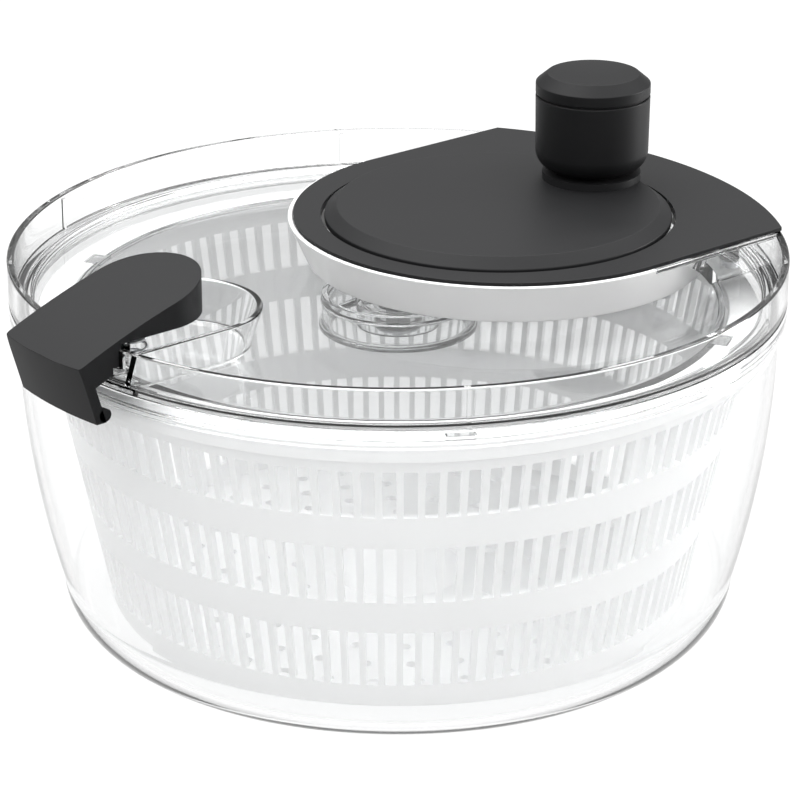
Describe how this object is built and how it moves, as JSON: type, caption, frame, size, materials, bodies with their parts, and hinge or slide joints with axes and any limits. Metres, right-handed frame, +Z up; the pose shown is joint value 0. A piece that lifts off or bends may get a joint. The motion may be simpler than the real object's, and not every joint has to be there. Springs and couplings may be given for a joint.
{
  "type": "salad spinner",
  "caption": "Round salad spinner: clear tapered bowl, slotted white basket, clear lid with a dark round crank and knob, and a dark lever latch on the rim.",
  "frame": {"origin": "on the bowl's axis, on the plane the bowl stands on", "axes": "+Z up, +X from the bowl's axis towards the crank, -X towards the lid latch"},
  "size_m": [0.2632, 0.25, 0.1663],
  "materials": {
    "clear_plastic": "clear, polished",
    "white_plastic": "satin",
    "pale_plastic": "satin",
    "dark_plastic": "fine matt grain",
    "steel": "bright"
  },
  "bodies": {
    "bowl": {"bowl": "clear_plastic", "pivot_pin": "steel"},
    "basket": {"basket": "white_plastic", "basket_bush": "pale_plastic"},
    "lid": {"lid_shell": "clear_plastic", "crank_cover": "dark_plastic", "cover_screws": "steel", "crank_bush": "pale_plastic", "shaft_bush": "pale_plastic", "latch_pin": "steel", "latch_spring": "steel"},
    "latch": {"latch": "dark_plastic"},
    "crank": {"crank_disc": "dark_plastic", "drive_gear": "pale_plastic", "gear_screws": "steel", "crank_washer": "steel", "crank_screw": "steel", "knob_post": "steel", "knob_washer": "steel", "knob_screw": "steel"},
    "knob": {"knob_body": "dark_plastic", "knob_cap": "dark_plastic"},
    "drive": {"pinion": "pale_plastic", "drive_shaft": "steel", "drive_plate": "clear_plastic", "hub_washer": "steel", "hub_screw": "steel"}
  },
  "joints": [
    {"name": "lid_lift", "type": "slide", "parent": "bowl", "child": "lid", "axis": [0, 0, 1], "range_m": [0, 0.15]},
    {"name": "crank_spin", "type": "hinge", "parent": "lid", "child": "crank", "pos_m": [0.0425, 0, 0.12], "axis": [0, 0, 1], "continuous": true},
    {"name": "drive_spin", "type": "hinge", "parent": "lid", "child": "drive", "pos_m": [0, 0, 0.11], "axis": [0, 0, 1], "continuous": true},
    {"name": "basket_spin", "type": "hinge", "parent": "bowl", "child": "basket", "pos_m": [0, 0, 0.01], "axis": [0, 0, 1], "continuous": true},
    {"name": "knob_spin", "type": "hinge", "parent": "crank", "child": "knob", "pos_m": [0.084, 0, 0.145], "axis": [0, 0, 1], "continuous": true},
    {"name": "latch_press", "type": "hinge", "parent": "lid", "child": "latch", "pos_m": [-0.117, 0, 0.1215], "axis": [0, 1, 0], "range_deg": [0, 11], "stiffness_Nm_per_rad": 0.4, "springref_deg": -5.73, "deforming": ["latch_spring"]}
  ],
  "couplings": [
    {"joint": "drive_spin", "follows": "crank_spin", "ratio": -3},
    {"joint": "basket_spin", "follows": "crank_spin", "ratio": -3}
  ]
}
